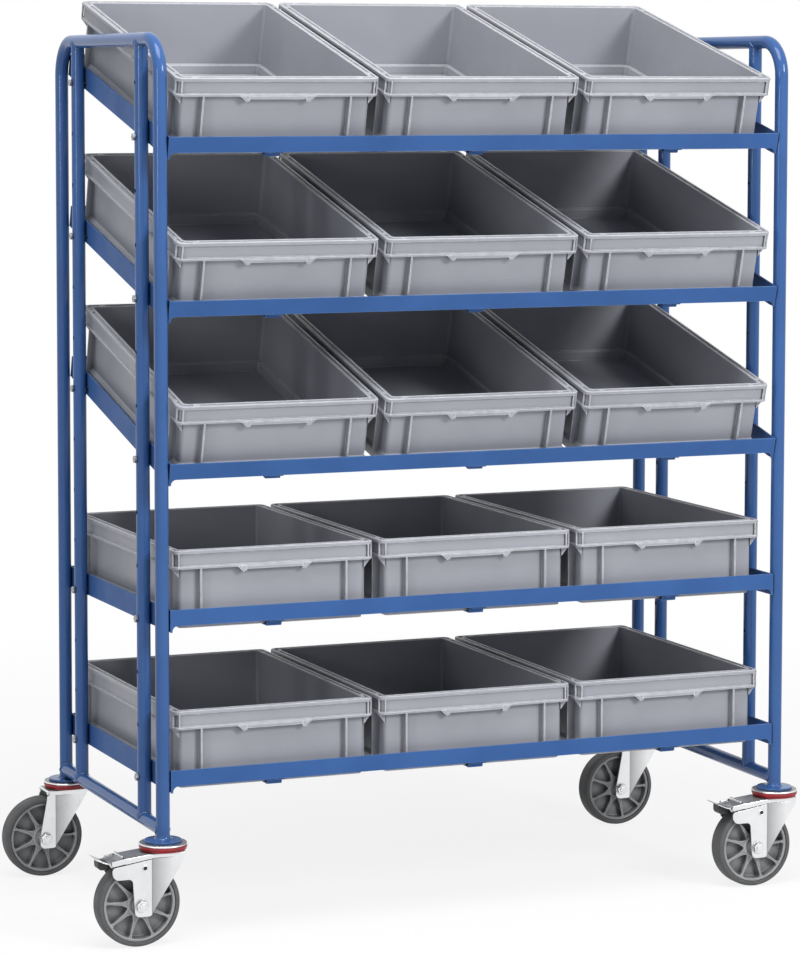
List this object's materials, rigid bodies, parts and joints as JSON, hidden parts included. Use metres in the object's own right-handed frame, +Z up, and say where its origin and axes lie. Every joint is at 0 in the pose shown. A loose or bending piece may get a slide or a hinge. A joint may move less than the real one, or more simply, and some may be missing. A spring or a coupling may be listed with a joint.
{
  "type": "euro box trolley",
  "caption": "Tall tube-frame picking trolley on braked swivel castors, with tilted and level shelves that hold rows of open euro boxes.",
  "frame": {"origin": "middle of the footprint's bounding box, on the floor", "axes": "+X to the right along the shelves, +Y to the rear, +Z up"},
  "size_m": [1.4766, 0.6968, 1.7496],
  "materials": {
    "blue_coat": "satin powder coat",
    "box_plastic": "moulded",
    "zinc": "bright zinc",
    "red_seal": "moulded",
    "rim_plastic": "moulded",
    "tyre_rubber": "matt",
    "black_plastic": "matt"
  },
  "bodies": {
    "frame": {"left_bow": "blue_coat", "left_bottom_bar": "blue_coat", "left_front_upright": "blue_coat", "left_rear_upright": "blue_coat", "right_bow": "blue_coat", "right_bottom_bar": "blue_coat", "right_front_upright": "blue_coat", "right_rear_upright": "blue_coat", "foot_discs": "blue_coat", "castor_heads": "zinc", "swivel_bearings": "zinc", "seal_rings": "red_seal", "shelf_bolts": "zinc", "shelf_1_rails": "blue_coat", "shelf_1_crossbars": "blue_coat", "shelf_2_rails": "blue_coat", "shelf_2_crossbars": "blue_coat", "shelf_3_rails": "blue_coat", "shelf_3_crossbars": "blue_coat", "shelf_4_rails": "blue_coat", "shelf_4_crossbars": "blue_coat", "shelf_5_rails": "blue_coat", "shelf_5_crossbars": "blue_coat"},
    "shelf_1_left_box": {"shelf_1_left_box": "box_plastic"},
    "shelf_1_middle_box": {"shelf_1_middle_box": "box_plastic"},
    "shelf_1_right_box": {"shelf_1_right_box": "box_plastic"},
    "shelf_2_left_box": {"shelf_2_left_box": "box_plastic"},
    "shelf_2_middle_box": {"shelf_2_middle_box": "box_plastic"},
    "shelf_2_right_box": {"shelf_2_right_box": "box_plastic"},
    "shelf_3_left_box": {"shelf_3_left_box": "box_plastic"},
    "shelf_3_middle_box": {"shelf_3_middle_box": "box_plastic"},
    "shelf_3_right_box": {"shelf_3_right_box": "box_plastic"},
    "shelf_4_left_box": {"shelf_4_left_box": "box_plastic"},
    "shelf_4_middle_box": {"shelf_4_middle_box": "box_plastic"},
    "shelf_4_right_box": {"shelf_4_right_box": "box_plastic"},
    "shelf_5_left_box": {"shelf_5_left_box": "box_plastic"},
    "shelf_5_middle_box": {"shelf_5_middle_box": "box_plastic"},
    "shelf_5_right_box": {"shelf_5_right_box": "box_plastic"},
    "front_left_castor": {"front_left_fork": "zinc", "front_left_axle": "zinc"},
    "front_left_wheel": {"front_left_rim": "rim_plastic", "front_left_tyre": "tyre_rubber"},
    "front_left_brake": {"front_left_brake_pedal": "zinc", "front_left_brake_block": "black_plastic"},
    "front_right_castor": {"front_right_fork": "zinc", "front_right_axle": "zinc"},
    "front_right_wheel": {"front_right_rim": "rim_plastic", "front_right_tyre": "tyre_rubber"},
    "front_right_brake": {"front_right_brake_pedal": "zinc", "front_right_brake_block": "black_plastic"},
    "rear_left_castor": {"rear_left_fork": "zinc", "rear_left_axle": "zinc"},
    "rear_left_wheel": {"rear_left_rim": "rim_plastic", "rear_left_tyre": "tyre_rubber"},
    "rear_right_castor": {"rear_right_fork": "zinc", "rear_right_axle": "zinc"},
    "rear_right_wheel": {"rear_right_rim": "rim_plastic", "rear_right_tyre": "tyre_rubber"}
  },
  "joints": [
    {"name": "shelf_1_left_box_lift", "type": "slide", "parent": "frame", "child": "shelf_1_left_box", "axis": [0, -0.2484, 0.9687], "range_m": [0, 0.06]},
    {"name": "shelf_1_middle_box_lift", "type": "slide", "parent": "frame", "child": "shelf_1_middle_box", "axis": [0, -0.2484, 0.9687], "range_m": [0, 0.06]},
    {"name": "shelf_1_right_box_lift", "type": "slide", "parent": "frame", "child": "shelf_1_right_box", "axis": [0, -0.2484, 0.9687], "range_m": [0, 0.06]},
    {"name": "shelf_2_left_box_lift", "type": "slide", "parent": "frame", "child": "shelf_2_left_box", "axis": [0, -0.2484, 0.9687], "range_m": [0, 0.06]},
    {"name": "shelf_2_middle_box_lift", "type": "slide", "parent": "frame", "child": "shelf_2_middle_box", "axis": [0, -0.2484, 0.9687], "range_m": [0, 0.06]},
    {"name": "shelf_2_right_box_lift", "type": "slide", "parent": "frame", "child": "shelf_2_right_box", "axis": [0, -0.2484, 0.9687], "range_m": [0, 0.06]},
    {"name": "shelf_3_left_box_lift", "type": "slide", "parent": "frame", "child": "shelf_3_left_box", "axis": [0, -0.2484, 0.9687], "range_m": [0, 0.06]},
    {"name": "shelf_3_middle_box_lift", "type": "slide", "parent": "frame", "child": "shelf_3_middle_box", "axis": [0, -0.2484, 0.9687], "range_m": [0, 0.06]},
    {"name": "shelf_3_right_box_lift", "type": "slide", "parent": "frame", "child": "shelf_3_right_box", "axis": [0, -0.2484, 0.9687], "range_m": [0, 0.06]},
    {"name": "shelf_4_left_box_lift", "type": "slide", "parent": "frame", "child": "shelf_4_left_box", "axis": [0, 0, 1], "range_m": [0, 0.06]},
    {"name": "shelf_4_middle_box_lift", "type": "slide", "parent": "frame", "child": "shelf_4_middle_box", "axis": [0, 0, 1], "range_m": [0, 0.06]},
    {"name": "shelf_4_right_box_lift", "type": "slide", "parent": "frame", "child": "shelf_4_right_box", "axis": [0, 0, 1], "range_m": [0, 0.06]},
    {"name": "shelf_5_left_box_lift", "type": "slide", "parent": "frame", "child": "shelf_5_left_box", "axis": [0, 0, 1], "range_m": [0, 0.06]},
    {"name": "shelf_5_middle_box_lift", "type": "slide", "parent": "frame", "child": "shelf_5_middle_box", "axis": [0, 0, 1], "range_m": [0, 0.06]},
    {"name": "shelf_5_right_box_lift", "type": "slide", "parent": "frame", "child": "shelf_5_right_box", "axis": [0, 0, 1], "range_m": [0, 0.06]},
    {"name": "front_left_swivel", "type": "hinge", "parent": "frame", "child": "front_left_castor", "pos_m": [-0.59425, -0.302, 0.176], "axis": [0, 0, 1], "continuous": true},
    {"name": "front_left_roll", "type": "hinge", "parent": "front_left_castor", "child": "front_left_wheel", "pos_m": [-0.64625, -0.302, 0.08], "axis": [0, 1, 0], "continuous": true},
    {"name": "front_left_brake_press", "type": "hinge", "parent": "front_left_castor", "child": "front_left_brake", "pos_m": [-0.63925, -0.302, 0.15], "axis": [0, -1, 0], "range_deg": [0, 9]},
    {"name": "front_right_swivel", "type": "hinge", "parent": "frame", "child": "front_right_castor", "pos_m": [0.69175, -0.302, 0.176], "axis": [0, 0, 1], "continuous": true},
    {"name": "front_right_roll", "type": "hinge", "parent": "front_right_castor", "child": "front_right_wheel", "pos_m": [0.63975, -0.302, 0.08], "axis": [0, 1, 0], "continuous": true},
    {"name": "front_right_brake_press", "type": "hinge", "parent": "front_right_castor", "child": "front_right_brake", "pos_m": [0.64675, -0.302, 0.15], "axis": [0, -1, 0], "range_deg": [0, 9]},
    {"name": "rear_left_swivel", "type": "hinge", "parent": "frame", "child": "rear_left_castor", "pos_m": [-0.59425, 0.302, 0.176], "axis": [0, 0, 1], "continuous": true},
    {"name": "rear_left_roll", "type": "hinge", "parent": "rear_left_castor", "child": "rear_left_wheel", "pos_m": [-0.64625, 0.302, 0.08], "axis": [0, 1, 0], "continuous": true},
    {"name": "rear_right_swivel", "type": "hinge", "parent": "frame", "child": "rear_right_castor", "pos_m": [0.69175, 0.302, 0.176], "axis": [0, 0, 1], "continuous": true},
    {"name": "rear_right_roll", "type": "hinge", "parent": "rear_right_castor", "child": "rear_right_wheel", "pos_m": [0.63975, 0.302, 0.08], "axis": [0, 1, 0], "continuous": true}
  ]
}
